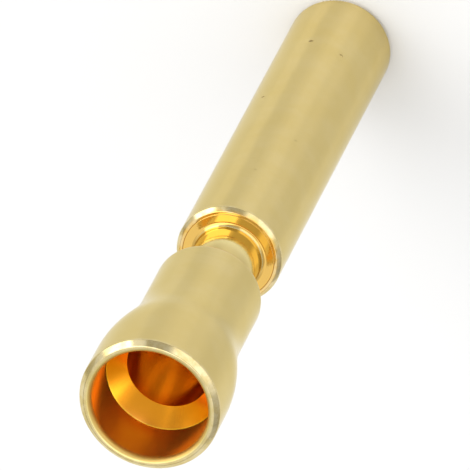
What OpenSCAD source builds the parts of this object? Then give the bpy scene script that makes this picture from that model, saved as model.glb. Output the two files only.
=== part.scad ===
// Crimp socket contact: a turned, gold-plated contact body with an insulation cup,
// a wire barrel, a retention neck and slotted socket tines, and a thin closed-entry
// hood pressed over the tines.
// The axis is Z. The hood's front lip stands on Z = 0, the crimp mouth opens upwards.

/* [Overall] */
// Length from the hood's front lip to the rim of the insulation cup
overall_len = 19.4; // [18.8:0.1:21]

/* [Insulation cup] */
// Outside diameter of the insulation cup
cup_d = 3.42; // [3.4:0.02:3.8]
// Bore of the insulation cup
cup_bore_d = 2.84; // [2.6:0.02:2.86]
// Depth of the straight cup down to the inner step
cup_depth = 1.53; // [1.2:0.01:1.6]
// Slope of the inner step, from the horizontal
step_angle = 47; // [40:1:55]
// Straight length of the cup outside, from the rim
cup_len = 1.8; // [1.7:0.05:2.4]
// Length of the outside flare between cup and wire barrel
flare_len = 1.6; // [1.2:0.05:2]
// Width of the 45 degree chamfer on the outer rim edge
rim_chamfer = 0.13; // [0.05:0.01:0.13]
// Radius of the rounded inner rim edge
lead_round = 0.12; // [0.05:0.01:0.12]

/* [Wire barrel] */
// Outside diameter of the wire barrel
barrel_d = 2.62; // [2.5:0.02:2.8]
// Bore of the wire barrel
wire_bore_d = 2.02; // [1.8:0.02:2.1]
// Depth of the full wire bore, from the foot of the inner step
wire_bore_len = 3.35; // [3:0.05:3.35]
// Included angle of the drill point at the foot of each bore
drill_angle = 118; // [110:1:130]
// Distance from the rim to the rear edge of the wire barrel
barrel_end = 5.87; // [5.8:0.01:6.1]
// Radius of the wire barrel's rear edge
barrel_round = 0.13; // [0.06:0.01:0.16]

/* [Neck] */
// Diameter of the retention neck
neck_d = 1.66; // [1.5:0.02:1.8]
// Length of the retention neck
neck_len = 1.93; // [1.7:0.01:2.1]
// Fillet at the shoulder end of the neck
neck_fillet = 0.12; // [0.03:0.01:0.14]

/* [Socket] */
// Diameter of the shoulder that the hood is pressed on
shoulder_d = 2.26; // [2.2:0.01:2.3]
// Length of the shoulder inside the hood
shoulder_len = 3.6; // [2.8:0.1:3.8]
// Outside diameter of the spring tines
tine_d = 2.06; // [1.96:0.02:2.14]
// Gap between the tine tips and the inside of the hood lip
tine_gap = 0.15; // [0.08:0.01:0.3]
// Bore for the mating pin
pin_bore_d = 1.6; // [1.5:0.02:1.64]
// Depth of the full pin bore, from the tine tips
pin_bore_len = 7.2; // [6:0.1:7.6]
// Width of the slots between the tines
slot_w = 0.2; // [0.12:0.02:0.24]
// Length of the slots, from the tine tips
slot_len = 6.2; // [5:0.1:6.8]
// Number of diametral saw cuts, two tines each
slot_cuts = 2; // [1:1:2]

/* [Hood] */
// Outside diameter of the hood
hood_d = 2.6; // [2.56:0.01:2.64]
// Thickness of the turned-in front lip
lip_t = 0.3; // [0.2:0.01:0.4]
// Diameter of the pin entry in the lip
entry_d = 1.78; // [1.7:0.02:1.9]
// Depth of the countersink around the pin entry
entry_sink = 0.1; // [0.06:0.01:0.14]
// Radius of the hood's front outer edge
hood_front_round = 0.2; // [0.1:0.01:0.28]
// Width of the 45 degree chamfer on the hood's rear outer edge
hood_rear_chamfer = 0.1; // [0.03:0.01:0.12]

/* [Hidden] */
$fn = 96;
eps = 0.01;

// Heights on the axis, from the hood's front lip
z_rim = overall_len;
z_step = z_rim - cup_depth;
z_wire = z_step - (cup_bore_d - wire_bore_d) / 2 * tan(step_angle);
z_wire_foot = z_wire - wire_bore_len;
z_wire_tip = z_wire_foot - wire_bore_d / 2 / tan(drill_angle / 2);
z_flare_top = z_rim - cup_len;
z_flare_foot = z_flare_top - flare_len;
z_barrel_end = z_rim - barrel_end;
z_face = z_barrel_end - neck_len;
z_shoulder = z_face - shoulder_len;
z_tip = lip_t + tine_gap;
z_pin_foot = z_tip + pin_bore_len;
z_pin_tip = z_pin_foot + pin_bore_d / 2 / tan(drill_angle / 2);
tine_step = (shoulder_d - tine_d) / 2;
lead_in = 0.14;

// What is taken off a sharp outer corner at [r, z], at the foot of a step, to round it
module round_off(r, z, radius) {
    translate([r - radius, z + radius])
        difference() {
            translate([0, -radius - eps]) square([radius + eps, radius + eps]);
            circle(radius);
        }
}

// What is added in an inner corner at [r, z] to fillet it, opening outwards and upwards
module fillet_in(r, z, radius) {
    translate([r, z])
        difference() {
            translate([-eps, -eps]) square([radius + eps, radius + eps]);
            translate([radius, radius]) circle(radius);
        }
}

// Half section of the solid turned body, before its bores
module body_outline() {
    difference() {
        union() {
            polygon([
                [0, z_tip],
                [tine_d / 2 - 0.08, z_tip],
                [tine_d / 2, z_tip + 0.16],
                [tine_d / 2, z_shoulder - tine_step],
                [shoulder_d / 2, z_shoulder],
                [shoulder_d / 2, z_face],
                [neck_d / 2, z_face],
                [neck_d / 2, z_barrel_end],
                [barrel_d / 2, z_barrel_end],
                [barrel_d / 2, z_flare_foot],
                [cup_d / 2, z_flare_top],
                [cup_d / 2, z_rim - rim_chamfer],
                [cup_d / 2 - rim_chamfer, z_rim],
                [0, z_rim]
            ]);
            fillet_in(neck_d / 2, z_face, neck_fillet);
        }
        round_off(barrel_d / 2, z_barrel_end, barrel_round);
    }
}

// Half section of what is taken off the inner rim edge to round it
module lead_cut() {
    difference() {
        translate([cup_bore_d / 2 - eps, -lead_round])
            square([lead_round + eps, lead_round + 1]);
        translate([cup_bore_d / 2 + lead_round, -lead_round]) circle(lead_round);
    }
}

// Half section of the crimp cavity: wire bore with its drill point, inner step, cup bore
module crimp_cavity() {
    polygon([
        [0, z_wire_tip],
        [wire_bore_d / 2, z_wire_foot],
        [wire_bore_d / 2, z_wire],
        [cup_bore_d / 2, z_step],
        [cup_bore_d / 2, z_rim + 1],
        [0, z_rim + 1]
    ]);
}

// Half section of the pin cavity: lead-in, pin bore and its drill point
module pin_cavity() {
    polygon([
        [0, z_tip - lead_in],
        [pin_bore_d / 2 + 0.2, z_tip - lead_in],
        [pin_bore_d / 2, z_tip + lead_in],
        [pin_bore_d / 2, z_pin_foot],
        [0, z_pin_tip]
    ]);
}

// The saw cuts that part the tines
module tine_slots() {
    for (i = [0 : slot_cuts - 1])
        rotate([0, 0, 45 + 90 * i])
            translate([-tine_d, -slot_w / 2, z_tip - 1])
                cube([2 * tine_d, slot_w, slot_len + 1]);
}

module contact_body() {
    color([0.86, 0.72, 0.36])
        difference() {
            rotate_extrude() body_outline();
            rotate_extrude() crimp_cavity();
            translate([0, 0, z_rim]) rotate_extrude() lead_cut();
            rotate_extrude() pin_cavity();
            tine_slots();
        }
}

// Half section of the hood: a thin tube with a turned-in front lip
module hood_outline() {
    difference() {
        polygon([
            [entry_d / 2 + entry_sink, 0],
            [hood_d / 2, 0],
            [hood_d / 2, z_face - hood_rear_chamfer],
            [hood_d / 2 - hood_rear_chamfer, z_face],
            [shoulder_d / 2, z_face],
            [shoulder_d / 2, lip_t],
            [entry_d / 2, lip_t],
            [entry_d / 2, entry_sink]
        ]);
        round_off(hood_d / 2, 0, hood_front_round);
    }
}

module socket_hood() {
    color([0.88, 0.75, 0.4]) rotate_extrude() hood_outline();
}

contact_body();
socket_hood();
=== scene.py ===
import math

import bmesh
import bpy
from mathutils import Matrix, Vector


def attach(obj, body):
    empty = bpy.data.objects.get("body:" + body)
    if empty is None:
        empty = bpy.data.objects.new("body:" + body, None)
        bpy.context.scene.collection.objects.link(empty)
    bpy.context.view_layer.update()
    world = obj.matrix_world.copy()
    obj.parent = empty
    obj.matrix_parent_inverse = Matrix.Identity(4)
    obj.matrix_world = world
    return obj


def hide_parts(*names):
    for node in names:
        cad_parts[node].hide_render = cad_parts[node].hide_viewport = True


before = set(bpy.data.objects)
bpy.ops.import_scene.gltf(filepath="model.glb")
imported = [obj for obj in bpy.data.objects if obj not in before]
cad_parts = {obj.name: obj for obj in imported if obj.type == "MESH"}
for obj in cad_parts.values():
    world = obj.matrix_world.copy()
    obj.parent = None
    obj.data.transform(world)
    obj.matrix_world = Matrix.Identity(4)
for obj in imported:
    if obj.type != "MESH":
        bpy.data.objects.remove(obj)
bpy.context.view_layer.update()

scene = bpy.context.scene

# ---------------------------------------------------------------- sizes, millimetres
MM = 0.001
Z_RIM = 19.4
CUP_R, CUP_BORE_R, CUP_LEAD, CUP_DEPTH, STEP_ANGLE = 1.71, 1.42, 0.12, 1.53, 47
CUP_LEN, FLARE_LEN, RIM_CHAMFER = 1.8, 1.6, 0.13
BARREL_R, WIRE_R, WIRE_LEN, BARREL_END, BARREL_ROUND = 1.31, 1.01, 3.35, 5.87, 0.13
NECK_R, NECK_LEN, NECK_FILLET = 0.83, 1.93, 0.12
SHOULDER_R, SHOULDER_LEN, TINE_R, PIN_R = 1.13, 3.6, 1.03, 0.8
PIN_LEN, SLOT_W, SLOT_LEN = 7.2, 0.2, 6.2
HOOD_R, LIP_T, ENTRY_R, ENTRY_SINK, HOOD_FRONT, HOOD_REAR = 1.3, 0.3, 0.89, 0.1, 0.2, 0.1
TIP_GAP = 0.15
DRILL = math.tan(math.radians(59))

Z_STEP = Z_RIM - CUP_DEPTH
Z_WIRE = Z_STEP - (CUP_BORE_R - WIRE_R) * math.tan(math.radians(STEP_ANGLE))
Z_WIRE_FOOT = Z_WIRE - WIRE_LEN
Z_FLARE_TOP = Z_RIM - CUP_LEN
Z_FLARE_FOOT = Z_FLARE_TOP - FLARE_LEN
Z_BARREL_END = Z_RIM - BARREL_END
Z_FACE = Z_BARREL_END - NECK_LEN
Z_SHOULDER = Z_FACE - SHOULDER_LEN
Z_TIP = LIP_T + TIP_GAP
Z_PIN_FOOT = Z_TIP + PIN_LEN

SEG = 256


# ---------------------------------------------------------------- turned shapes
def section(corners, closed):
    """Points of a half section. Each corner is (r, z, radius): a radius above 0 is
    rounded with a true arc, and long straights get a guard point beside each end."""
    n = len(corners)
    pts = []
    for i, (r, z, rad) in enumerate(corners):
        p = Vector((r, z))
        if rad <= 0 or (not closed and i in (0, n - 1)):
            pts.append(p)
            continue
        a = (Vector(corners[i - 1][:2]) - p).normalized()
        b = (Vector(corners[(i + 1) % n][:2]) - p).normalized()
        half = a.angle(b) / 2
        back = rad / math.tan(half)
        mid = p + (a + b).normalized() * (rad / math.sin(half))
        start, end = p + a * back, p + b * back
        turn = math.pi - 2 * half
        steps = max(8, math.ceil(math.degrees(turn) / 4.5))
        v0, v1 = start - mid, end - mid
        sweep = math.atan2(v0.x * v1.y - v0.y * v1.x, v0.dot(v1))
        for k in range(steps + 1):
            c, s = math.cos(sweep * k / steps), math.sin(sweep * k / steps)
            pts.append(mid + Vector((c * v0.x - s * v0.y, s * v0.x + c * v0.y)))
    out = []
    m = len(pts)
    for i, p in enumerate(pts):
        out.append(p)
        if i + 1 == m and not closed:
            break
        q = pts[(i + 1) % m]
        gap = (q - p).length
        if gap > 0.12:
            guard = 0.012
            out.append(p + (q - p) * (guard / gap))
            inner = max(0, math.ceil(gap / 1.3) - 1)
            for k in range(1, inner + 1):
                out.append(p + (q - p) * (k / (inner + 1)))
            out.append(q + (p - q) * (guard / gap))
    return out


def lathe(name, pts, closed):
    """Turns a half section about Z, in millimetres."""
    bm = bmesh.new()
    rings = []
    for p in pts:
        if p.x < 1e-6:
            rings.append([bm.verts.new((0, 0, p.y))])
        else:
            rings.append([
                bm.verts.new((
                    p.x * math.cos(2 * math.pi * k / SEG),
                    p.x * math.sin(2 * math.pi * k / SEG),
                    p.y,
                ))
                for k in range(SEG)
            ])
    pairs = list(zip(rings, rings[1:]))
    if closed:
        pairs.append((rings[-1], rings[0]))
    for a, b in pairs:
        for k in range(SEG):
            j = (k + 1) % SEG
            face = []
            for v in (a[k % len(a)], a[j % len(a)], b[j % len(b)], b[k % len(b)]):
                if v not in face:
                    face.append(v)
            if len(face) > 2:
                bm.faces.new(face)
    bmesh.ops.recalc_face_normals(bm, faces=bm.faces)
    me = bpy.data.meshes.new(name)
    bm.to_mesh(me)
    bm.free()
    ob = bpy.data.objects.new(name, me)
    scene.collection.objects.link(ob)
    return ob


def settle(ob):
    """Scales a finished piece to metres and shades it: smooth, with true corners sharp."""
    me = ob.data
    me.transform(Matrix.Scale(MM, 4))
    bm = bmesh.new()
    bm.from_mesh(me)
    for f in bm.faces:
        f.smooth = True
    for e in bm.edges:
        e.smooth = len(e.link_faces) == 2 and e.calc_face_angle(0) < math.radians(14)
    bm.to_mesh(me)
    bm.free()
    me.update()


def saw_cut(ob, angle):
    """Cuts one diametral slot through the tines."""
    bm = bmesh.new()
    bmesh.ops.create_cube(bm, size=1)
    low, high = -0.5, Z_TIP + SLOT_LEN
    for v in bm.verts:
        v.co = Vector((v.co.x * 4, v.co.y * SLOT_W, (low + high) / 2 + v.co.z * (high - low)))
    bmesh.ops.rotate(bm, verts=bm.verts, matrix=Matrix.Rotation(angle, 3, "Z"), cent=(0, 0, 0))
    me = bpy.data.meshes.new("saw")
    bm.to_mesh(me)
    bm.free()
    saw = bpy.data.objects.new("saw", me)
    scene.collection.objects.link(saw)
    mod = ob.modifiers.new("slot", "BOOLEAN")
    mod.operation, mod.solver, mod.object = "DIFFERENCE", "EXACT", saw
    dg = bpy.context.evaluated_depsgraph_get()
    cut = bpy.data.meshes.new_from_object(ob.evaluated_get(dg))
    old = ob.data
    ob.modifiers.clear()
    ob.data = cut
    bpy.data.meshes.remove(old)
    bpy.data.objects.remove(saw)
    bpy.data.meshes.remove(me)


# half section of the body, from the foot of the pin bore round to the foot of the wire bore
body_path = [
    (0, Z_PIN_FOOT + PIN_R / DRILL, 0),
    (PIN_R, Z_PIN_FOOT, 0),
    (PIN_R, Z_TIP + 0.14, 0.05),
    (PIN_R + 0.1, Z_TIP, 0.02),
    (TINE_R - 0.08, Z_TIP, 0.02),
    (TINE_R, Z_TIP + 0.16, 0.05),
    (TINE_R, Z_SHOULDER - (SHOULDER_R - TINE_R), 0),
    (SHOULDER_R, Z_SHOULDER, 0),
    (SHOULDER_R, Z_FACE, 0.015),
    (NECK_R, Z_FACE, NECK_FILLET),
    (NECK_R, Z_BARREL_END, 0.03),
    (BARREL_R, Z_BARREL_END, BARREL_ROUND),
    (BARREL_R, Z_FLARE_FOOT, 5.0),
    (CUP_R, Z_FLARE_TOP, 5.0),
    (CUP_R, Z_RIM - RIM_CHAMFER, 0.05),
    (CUP_R - RIM_CHAMFER, Z_RIM, 0.05),
    (CUP_BORE_R, Z_RIM, CUP_LEAD),
    (CUP_BORE_R, Z_STEP, 0.03),
    (WIRE_R, Z_WIRE, 0.03),
    (WIRE_R, Z_WIRE_FOOT, 0.03),
    (0, Z_WIRE_FOOT - WIRE_R / DRILL, 0),
]
body = lathe("turned_contact_body", section(body_path, False), False)
saw_cut(body, math.radians(45))
saw_cut(body, math.radians(135))
settle(body)

hood_path = [
    (ENTRY_R + ENTRY_SINK, 0, 0.02),
    (HOOD_R, 0, HOOD_FRONT),
    (HOOD_R, Z_FACE - HOOD_REAR, 0.04),
    (HOOD_R - HOOD_REAR, Z_FACE, 0.04),
    (SHOULDER_R, Z_FACE, 0.015),
    (SHOULDER_R, LIP_T, 0.04),
    (ENTRY_R, LIP_T, 0.02),
    (ENTRY_R, ENTRY_SINK, 0.02),
]
hood = lathe("drawn_socket_hood", section(hood_path, True), True)
settle(hood)


# ---------------------------------------------------------------- materials
class Graph:
    """Short hand for a node tree."""

    def __init__(self, tree):
        self.t = tree
        tree.nodes.clear()

    def add(self, kind, **kw):
        n = self.t.nodes.new(kind)
        for k, v in kw.items():
            setattr(n, k, v)
        return n

    def put(self, socket, value):
        if isinstance(value, bpy.types.NodeSocket):
            self.t.links.new(value, socket)
        else:
            socket.default_value = value

    def math(self, op, a, b=0.0, c=0.0, clamp=False):
        n = self.add("ShaderNodeMath", operation=op, use_clamp=clamp)
        for s, v in zip(n.inputs, (a, b, c)):
            self.put(s, v)
        return n.outputs[0]

    def vmath(self, op, a, b=None, scale=None):
        n = self.add("ShaderNodeVectorMath", operation=op)
        self.put(n.inputs[0], a)
        if b is not None:
            self.put(n.inputs[1], b)
        if scale is not None:
            self.put(n.inputs["Scale"], scale)
        return n.outputs["Value"] if op in ("DISTANCE", "LENGTH", "DOT_PRODUCT") else n.outputs[0]

    def ramp(self, value, lo, hi, a=0.0, b=1.0, smooth=True):
        n = self.add("ShaderNodeMapRange", interpolation_type="SMOOTHSTEP" if smooth else "LINEAR")
        for k, v in (("Value", value), ("From Min", lo), ("From Max", hi), ("To Min", a), ("To Max", b)):
            self.put(n.inputs[k], v)
        return n.outputs[0]

    def noise(self, vector=None, w=None, scale=5.0, detail=3.0, rough=0.55):
        n = self.add("ShaderNodeTexNoise", noise_dimensions="1D" if vector is None else "3D")
        if vector is None:
            self.put(n.inputs["W"], w)
        else:
            self.put(n.inputs["Vector"], vector)
        n.inputs["Scale"].default_value = scale
        n.inputs["Detail"].default_value = detail
        n.inputs["Roughness"].default_value = rough
        return n.outputs[0]

    def mix(self, fac, a, b):
        n = self.add("ShaderNodeMix", data_type="RGBA")
        self.put(n.inputs["Factor"], fac)
        for s, v in ((n.inputs[6], a), (n.inputs[7], b)):
            self.put(s, (*v, 1.0) if isinstance(v, tuple) else v)
        return n.outputs[2]


def plating(name, gold, pale, deep, warm, rough, inside, groove, streaks, tip, edges, specks):
    """Gold plating over turned metal. inside is (r, steps): surfaces nearer the axis than r
    are recessed, and each step (z, z, rise) changes that radius between two heights. There
    the first tones of warm are painted light and shade, in place of the light bounced round
    inside: cup wall, inner step, wire bore, its foot; the fifth is the scuffed inner edge of
    the rim, real wear from the wires. groove is (r, z, z, amount): nearer the axis than r
    and between two heights it turns to the last two by that amount, a painted shade and
    reflection colour: neck, face. streaks are (angle, half width, amount) bands along the
    axis, in degrees round it, lighter or darker: a painted reflection of the surroundings.
    tip is (z, amount): painted light, lighter by that amount from z downwards to 0. edges
    are (r, z) corners paler from rubbing by handling and also from a painted highlight,
    specks are (x, y, z, radius, depth) pits. Lengths in millimetres."""
    mat = bpy.data.materials.new(name)
    mat.use_nodes = True
    g = Graph(mat.node_tree)
    out = g.add("ShaderNodeOutputMaterial")
    sh = g.add("ShaderNodeBsdfPrincipled")
    g.t.links.new(sh.outputs[0], out.inputs["Surface"])
    at = g.add("ShaderNodeTexCoord").outputs["Object"]
    mm = g.vmath("SCALE", at, scale=1000.0)
    sep = g.add("ShaderNodeSeparateXYZ")
    g.put(sep.inputs[0], mm)
    x, y, z = sep.outputs
    r = g.math("SQRT", g.math("ADD", g.math("MULTIPLY", x, x), g.math("MULTIPLY", y, y)))
    along = g.math("ADD", z, r)
    limit, steps = inside
    for za, zb, rise in steps:
        limit = g.math("ADD", g.ramp(z, za, zb, 0.0, rise), limit)
    recess = g.ramp(g.math("SUBTRACT", limit, r), -0.03, 0.03)
    gr, glow, ghigh, gamount = groove
    # painted shade and reflection colour in the groove between the ring face and the neck, by the given amount
    shade = g.math("MULTIPLY", g.ramp(r, gr - 0.04, gr + 0.04, gamount, 0.0), g.ramp(z, glow - 0.04, glow + 0.04))
    shade = g.math("MULTIPLY", shade, g.ramp(z, ghigh - 0.25, ghigh + 0.25, 1.0, 0.0))

    # the inner edge of the rim, scuffed by the wires pushed past it
    scuff = g.math("MULTIPLY", g.ramp(r, 1.47, 1.53, 1.0, 0.0), g.ramp(z, Z_RIM - 0.22, Z_RIM - 0.1))

    # painted reflection along the axis: lighter and darker bands in place of the surroundings mirrored in the metal,
    # each with a slightly wandering edge
    wander = g.math("MULTIPLY", g.math("SUBTRACT", g.noise(vector=mm, scale=0.55, detail=2.0), 0.5), 7.0)
    turn = g.math("ADD", g.math("MULTIPLY", g.math("ARCTAN2", x, g.math("MULTIPLY", y, -1.0)), 180 / math.pi), wander)
    painted_reflection = 0.0
    for centre, half, amount in streaks:
        m = g.ramp(g.math("ABSOLUTE", g.math("SUBTRACT", turn, centre)), half * 0.25, half, amount, 0.0)
        painted_reflection = g.math("ADD", painted_reflection, m)

    # turning marks: rings round the axis, broken up where the plating has filled them
    fine = g.noise(w=along, scale=62.0, detail=2.0, rough=0.6)
    coarse = g.noise(w=along, scale=11.0, detail=3.0, rough=0.6)
    filled = g.ramp(g.noise(vector=mm, scale=1.3, detail=3.0), 0.35, 0.68)
    rings = g.math("MULTIPLY", g.math("ADD", fine, g.math("MULTIPLY", coarse, 0.8)), g.math("ADD", g.math("MULTIPLY", filled, 0.7), 0.3))

    # grain of the plating, and hairlines along the axis from sliding in and out
    grain = g.noise(vector=mm, scale=26.0, detail=4.0, rough=0.65)
    stretched = g.vmath("MULTIPLY", mm, (9.0, 9.0, 0.35))
    hair = g.ramp(g.noise(vector=stretched, scale=2.1, detail=4.0, rough=0.7), 0.60, 0.74)
    hair = g.math("MULTIPLY", hair, g.math("SUBTRACT", 1.0, recess))
    cloud = g.noise(vector=mm, scale=0.9, detail=4.0, rough=0.6)

    # paler edges: wear from handling, and at the mouth's rim also a painted highlight
    wear_and_painted_highlight = None
    for er, ez in edges:
        d = g.math("SQRT", g.math("ADD",
                   g.math("POWER", g.math("SUBTRACT", r, er), 2.0),
                   g.math("POWER", g.math("SUBTRACT", z, ez), 2.0)))
        m = g.ramp(d, 0.04, 0.2, 1.0, 0.0)
        wear_and_painted_highlight = m if wear_and_painted_highlight is None else g.math("MAXIMUM", wear_and_painted_highlight, m)
    wear_and_painted_highlight = g.math("MULTIPLY", wear_and_painted_highlight, g.ramp(g.noise(vector=mm, scale=3.4, detail=4.0), 0.36, 0.62))

    # pits and specks
    pit = None
    for sx, sy, sz, rad, sink in specks:
        wob = g.math("MULTIPLY", g.math("SUBTRACT", g.noise(vector=mm, scale=14.0), 0.5), rad * 1.6)
        d = g.math("ADD", g.vmath("DISTANCE", mm, (sx, sy, sz)), wob)
        m = g.ramp(d, rad * 0.45, rad, sink, 0.0)
        pit = m if pit is None else g.math("MAXIMUM", pit, m)

    tone = g.mix(g.ramp(cloud, 0.34, 0.7), gold, pale)
    tone = g.mix(g.math("MULTIPLY", g.ramp(coarse, 0.52, 0.8), 0.35), tone, deep)
    # painted light: lighter towards the far end to lift the shade there, with the painted reflection bands added
    painted_light_scale = g.math("ADD", g.ramp(z, 0.0, tip[0], 1.0 + tip[1], 1.0, smooth=False), painted_reflection)
    tone = g.vmath("SCALE", tone, scale=painted_light_scale)
    # painted light and shade in the hollows: tones in place of the light bounced round the cup wall, inner step and
    # wire bore, then the real scuff on the inner rim edge
    painted_recess_light_and_scuff = g.mix(g.ramp(z, Z_STEP - 0.03, Z_STEP + 0.01), warm[1], warm[0])
    bore = g.mix(g.ramp(z, Z_WIRE_FOOT + 1.0, Z_WIRE_FOOT + 1.8), warm[3], warm[2])
    painted_recess_light_and_scuff = g.mix(g.ramp(z, Z_WIRE - 0.03, Z_WIRE + 0.02), bore, painted_recess_light_and_scuff)
    painted_recess_light_and_scuff = g.mix(scuff, painted_recess_light_and_scuff, warm[4])
    # the neck and the ring face, fillet included, take painted shade and reflection colour
    tone = g.mix(shade, tone, g.mix(g.ramp(r, 0.835, 0.88), warm[5], warm[6]))
    tone = g.mix(recess, tone, painted_recess_light_and_scuff)
    # the paler edge tone: wear, and a painted highlight at the mouth's rim
    tone = g.mix(g.math("MULTIPLY", wear_and_painted_highlight, 0.5), tone, (0.86, 0.76, 0.50))
    if pit is not None:
        tone = g.mix(pit, tone, (0.20, 0.13, 0.045))
    g.put(sh.inputs["Base Color"], tone)
    sh.inputs["Metallic"].default_value = 1.0
    sh.inputs["Specular Tint"].default_value = (0.95, 0.90, 0.69, 1.0)

    ro = g.math("ADD", g.ramp(g.math("ADD", g.math("MULTIPLY", cloud, 0.6), g.math("MULTIPLY", grain, 0.4)), 0.3, 0.7, rough * 0.75, rough * 1.25), g.math("MULTIPLY", hair, 0.06))
    ro = g.math("ADD", ro, g.math("MULTIPLY", recess, g.math("SUBTRACT", rough, ro)))
    ro = g.math("SUBTRACT", ro, g.math("MULTIPLY", wear_and_painted_highlight, rough * 0.35))
    ro = g.math("ADD", ro, g.math("MULTIPLY", scuff, 0.25))
    bored = g.math("SUBTRACT", 1.0, g.math("MULTIPLY", g.ramp(z, Z_WIRE - 0.04, Z_WIRE + 0.03), g.ramp(z, Z_STEP - 0.03, Z_STEP + 0.04, 1.0, 0.0)))
    ro = g.math("ADD", ro, g.math("MULTIPLY", g.math("MULTIPLY", recess, bored), g.math("ADD", g.ramp(y, -0.6, -0.1, 0.05, 0.13), g.ramp(z, Z_WIRE, Z_STEP, -0.07, 0.0))))
    ro = g.math("SUBTRACT", ro, g.math("MULTIPLY", shade, 0.09))
    if pit is not None:
        ro = g.math("ADD", ro, g.math("MULTIPLY", pit, 0.35))
    g.put(sh.inputs["Roughness"], ro)

    high = g.math("ADD", g.math("MULTIPLY", rings, 0.55), g.math("MULTIPLY", grain, 0.25))
    high = g.math("SUBTRACT", high, g.math("MULTIPLY", hair, 0.18))
    high = g.math("MULTIPLY", high, g.math("SUBTRACT", 1.0, g.math("MULTIPLY", recess, 0.75)))
    if pit is not None:
        high = g.math("SUBTRACT", high, g.math("MULTIPLY", pit, 3.0))
    bump = g.add("ShaderNodeBump")
    bump.inputs["Strength"].default_value = 0.35
    bump.inputs["Distance"].default_value = 0.0000016
    g.put(bump.inputs["Height"], high)
    g.put(sh.inputs["Normal"], bump.outputs[0])
    return mat


GOLD = (0.610, 0.482, 0.202)
PALE = (0.632, 0.511, 0.240)
DEEP = (0.597, 0.457, 0.172)
# tones for the hollows, painted light and shade in place of the light bounced round inside: cup wall, inner step,
# wire bore, its foot; then the real scuff at the inner rim edge; then painted shade and reflection colour for the
# neck and the ring face
WARM_PAINTED_AND_SCUFF = [
    (0.99, 0.91, 0.28), (0.88, 0.37, 0.062), (0.70, 0.41, 0.098), (0.85, 0.52, 0.13),
    (0.66, 0.45, 0.14), (0.81, 0.70, 0.35), (0.825, 0.50, 0.11),
]
# bands of painted reflection along the axis: angle round it in degrees, half width, amount
PAINTED_REFLECTION_BANDS = [
    (41, 11, 0.07), (26, 11, -0.07), (5, 12, 0.08), (-31, 20, -0.10), (-56, 13, 0.06),
    (84, 16, -0.05), (112, 14, 0.05), (146, 18, -0.06), (-88, 15, -0.05), (-120, 16, 0.06),
    (-152, 18, -0.05),
]
# the body's own painted reflection bands, the first four changed
BODY_PAINTED_REFLECTION_BANDS = [(41, 11, 0.03), (26, 11, -0.07), (5, 12, 0.06), (-29, 19, -0.10)] + PAINTED_REFLECTION_BANDS[4:]
body_gold = plating(
    "gold_plated_turned", GOLD, PALE, DEEP, WARM_PAINTED_AND_SCUFF, 0.15,
    (0.5, [(13.3, 13.44, 0.66), (16.9, 17.3, 0.34)]), (1.2, 11.5, 12.5, 0.85), BODY_PAINTED_REFLECTION_BANDS, (1.0, 0.0),
    [(CUP_R - 0.06, Z_RIM - 0.05), (BARREL_R, Z_BARREL_END)],
    [],
)
hood_gold = plating(
    "gold_plated_sleeve", GOLD, PALE, DEEP, WARM_PAINTED_AND_SCUFF, 0.16,
    (1.2, [(10.9, 11.3, -0.2)]), (1.24, 11.55, 12.5, 0.85), PAINTED_REFLECTION_BANDS, (7.0, 0.08),
    [(HOOD_R - 0.05, Z_FACE - 0.04)],
    [(0.69, -1.10, 2.45, 0.07, 0.75), (-0.12, -1.294, 2.70, 0.06, 0.5), (1.08, -0.72, 5.31, 0.055, 0.6),
     (-0.12, -1.295, 7.43, 0.05, 0.25), (0.405, -1.235, 9.45, 0.05, 0.25)],
)
body.data.materials.clear()
body.data.materials.append(body_gold)
hood.data.materials.clear()
hood.data.materials.append(hood_gold)

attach(body, "root")
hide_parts("contact_body")
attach(hood, "root")
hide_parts("socket_hood")


# ---------------------------------------------------------------- floor
def make_floor():
    me = bpy.data.meshes.new("studio_floor")
    s = 0.9
    me.from_pydata([(-s, -s, 0), (s, -s, 0), (s, s, 0), (-s, s, 0)], [], [(0, 1, 2, 3)])
    ob = bpy.data.objects.new("studio_floor", me)
    ob.location.z = -0.000004
    scene.collection.objects.link(ob)
    mat = bpy.data.materials.new("pale_floor")
    mat.use_nodes = True
    g = Graph(mat.node_tree)
    out = g.add("ShaderNodeOutputMaterial")
    sh = g.add("ShaderNodeBsdfPrincipled")
    g.t.links.new(sh.outputs[0], out.inputs["Surface"])
    at = g.add("ShaderNodeTexCoord").outputs["Object"]
    soft = g.noise(vector=g.vmath("SCALE", at, scale=1000.0), scale=0.05, detail=2.0)
    g.put(sh.inputs["Base Color"], g.mix(soft, (0.805, 0.805, 0.804), (0.82, 0.82, 0.819)))
    sh.inputs["Roughness"].default_value = 0.9
    sh.inputs["Specular IOR Level"].default_value = 0.1
    me.materials.append(mat)


make_floor()


# ---------------------------------------------------------------- light
world = bpy.data.worlds.new("studio")
scene.world = world
world.use_nodes = True
wg = Graph(world.node_tree)
w_out = wg.add("ShaderNodeOutputWorld")
w_bg = wg.add("ShaderNodeBackground")
wg.t.links.new(w_bg.outputs[0], w_out.inputs["Surface"])
w_sep = wg.add("ShaderNodeSeparateXYZ")
wg.put(w_sep.inputs[0], wg.add("ShaderNodeTexCoord").outputs["Generated"])
wx, wy, wz = w_sep.outputs
# a white tent: azimuth 0 is behind the camera, 90 the side of +X
w_az = wg.math("MULTIPLY", wg.math("ARCTAN2", wx, wg.math("MULTIPLY", wy, -1.0)), 180 / math.pi)


def panel(centre, inner, outer, amount):
    return wg.ramp(wg.math("ABSOLUTE", wg.math("SUBTRACT", w_az, centre)), inner, outer, amount, 0.0)


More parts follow.
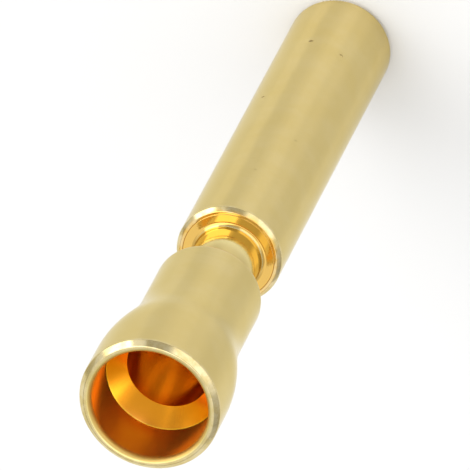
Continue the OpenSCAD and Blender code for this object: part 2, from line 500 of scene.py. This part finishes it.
# a tall light on the left, a low one at the right behind the camera, a gap between them
left = wg.ramp(wg.math("SUBTRACT", w_az, wg.ramp(wz, 0.45, 0.8, 58.0, 30.0)), 0.0, 5.0)
left = wg.math("MULTIPLY", left, wg.ramp(wg.math("SUBTRACT", w_az, wg.ramp(wz, 0.45, 0.8, 90.0, 106.0)), 0.0, 8.0, 1.0, 0.0))
left = wg.math("MULTIPLY", left, wg.ramp(wz, 0.50, 0.75, 2.1, 1.25))
left = wg.math("MULTIPLY", left, wg.ramp(wz, 0.90, 0.96, 1.0, 0.0))
right_front = wg.math("MULTIPLY", panel(-27, 26, 36, 0.60), wg.ramp(wz, 0.60, 0.72, 1.0, 0.0))
gap = wg.math("MULTIPLY", panel(26, 12, 22, 0.45), wg.ramp(wz, 0.72, 0.85, 1.0, 0.0))
brow = wg.math("MULTIPLY", panel(-22, 38, 52, 0.28), wg.math("MULTIPLY", wg.ramp(wz, 0.70, 0.78), wg.ramp(wz, 0.92, 0.97, 1.0, 0.0)))
side = wg.math("MULTIPLY", panel(-92, 14, 26, 0.4), wg.ramp(wz, 0.70, 0.85, 1.0, 0.0))
overhead = wg.ramp(wz, 0.93, 0.985, 0.0, 1.1)
right_high = wg.math("MULTIPLY", panel(-86, 22, 34, 0.4), wg.math("MULTIPLY", wg.ramp(wz, 0.74, 0.80), wg.ramp(wz, 0.90, 0.96, 1.0, 0.0)))
overhead = wg.math("ADD", overhead, right_high)
tent = wg.math("ADD", wg.math("ADD", wg.math("ADD", 1.08, overhead), left), right_front)
tent = wg.math("MULTIPLY", tent, wg.math("SUBTRACT", 1.0, gap))
tent = wg.math("MULTIPLY", tent, wg.math("SUBTRACT", 1.0, brow))
tent = wg.math("MULTIPLY", tent, wg.math("SUBTRACT", 1.0, side))
back = wg.math("MULTIPLY", wg.ramp(wg.math("ABSOLUTE", w_az), 112.0, 130.0, 0.0, 0.3), wg.ramp(wz, 0.60, 0.78, 1.0, 0.0))
tent = wg.math("MULTIPLY", tent, wg.math("SUBTRACT", 1.0, back))
tent = wg.math("MULTIPLY", tent, wg.ramp(wz, 0.0, 0.3, 0.6, 1.0))
w_bg.inputs["Color"].default_value = (1.0, 1.0, 1.0, 1.0)
wg.put(w_bg.inputs["Strength"], tent)

# ---------------------------------------------------------------- camera
THETA, ALPHA = math.radians(30.65), math.radians(61.95)
LENS, SENSOR, FRAME = 1000.0, 36.0, 470.0
PX_MM = 42.6
RIM_PX = (148.4, 406.5)
dist = LENS / SENSOR * FRAME / PX_MM
st, ct, ca, sa = math.sin(THETA), math.cos(THETA), math.cos(ALPHA), math.sin(ALPHA)
fwd = Vector((0, st, -ct))
right = Vector((-sa, -ct * ca, -st * ca))
up = Vector((ca, -ct * sa, -st * sa))
eye = Vector((0, 0, Z_RIM)) + right * ((FRAME / 2 - RIM_PX[0]) / PX_MM) + up * ((RIM_PX[1] - FRAME / 2) / PX_MM) - fwd * dist
cam_data = bpy.data.cameras.new("camera")
cam_data.lens, cam_data.sensor_width = LENS, SENSOR
cam_data.clip_start, cam_data.clip_end = 0.01, 10.0
cam = bpy.data.objects.new("camera", cam_data)
cam.matrix_world = Matrix((
    (right.x, up.x, -fwd.x, eye.x * MM),
    (right.y, up.y, -fwd.y, eye.y * MM),
    (right.z, up.z, -fwd.z, eye.z * MM),
    (0, 0, 0, 1),
))
scene.collection.objects.link(cam)
scene.camera = cam

scene.view_settings.view_transform = "Standard"
scene.cycles.max_bounces = 24
scene.cycles.glossy_bounces = 20
scene.cycles.diffuse_bounces = 4
scene.cycles.sample_clamp_indirect = 6.0
